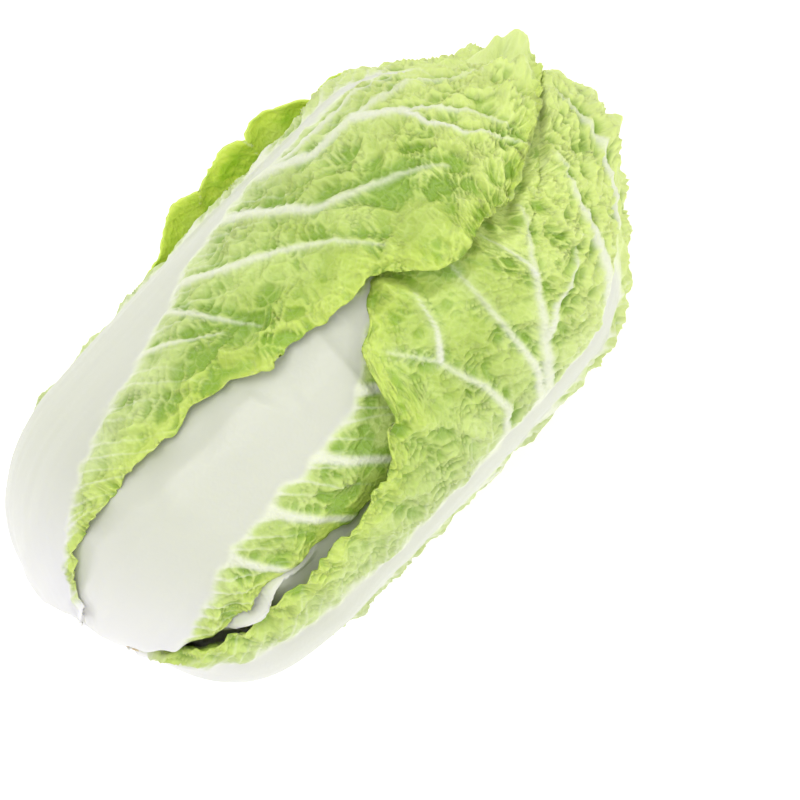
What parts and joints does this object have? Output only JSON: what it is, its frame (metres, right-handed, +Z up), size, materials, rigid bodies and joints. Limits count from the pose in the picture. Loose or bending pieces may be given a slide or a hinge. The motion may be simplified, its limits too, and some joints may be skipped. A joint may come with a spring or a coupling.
{
  "type": "chinese cabbage",
  "caption": "Whole barrel-shaped head of Chinese cabbage lying on its side: broad white ribs, crinkled green overlapping leaves, cut stem at the butt.",
  "frame": {"origin": "under the middle of the whole head, on the surface that it lies on", "axes": "+X along the head from the cut butt to the leaf tips, +Z up; the head lies on its side"},
  "size_m": [0.307, 0.1858, 0.1639],
  "materials": {
    "outer_leaf": "fresh outer leaf: smooth white rib, crinkled green blade with pale raised veins, satin skin",
    "inner_leaf": "fresh inner leaf: white rib, pale yellow-green crinkled blade, satin skin",
    "heart": "tight pale yellow inner leaves, satin skin",
    "stem": "fresh cut, moist matt white flesh with a browned rim"
  },
  "bodies": {
    "root": {"stem": "stem", "heart": "heart", "second_leaf_under": "inner_leaf", "second_leaf_low_left": "inner_leaf", "second_leaf_right": "inner_leaf", "second_leaf_left": "inner_leaf", "second_leaf_top": "inner_leaf", "outer_leaf_top": "outer_leaf", "outer_leaf_low_right": "outer_leaf", "outer_leaf_right": "outer_leaf", "outer_leaf_left": "outer_leaf", "outer_leaf_low_left": "outer_leaf"}
  },
  "joints": []
}
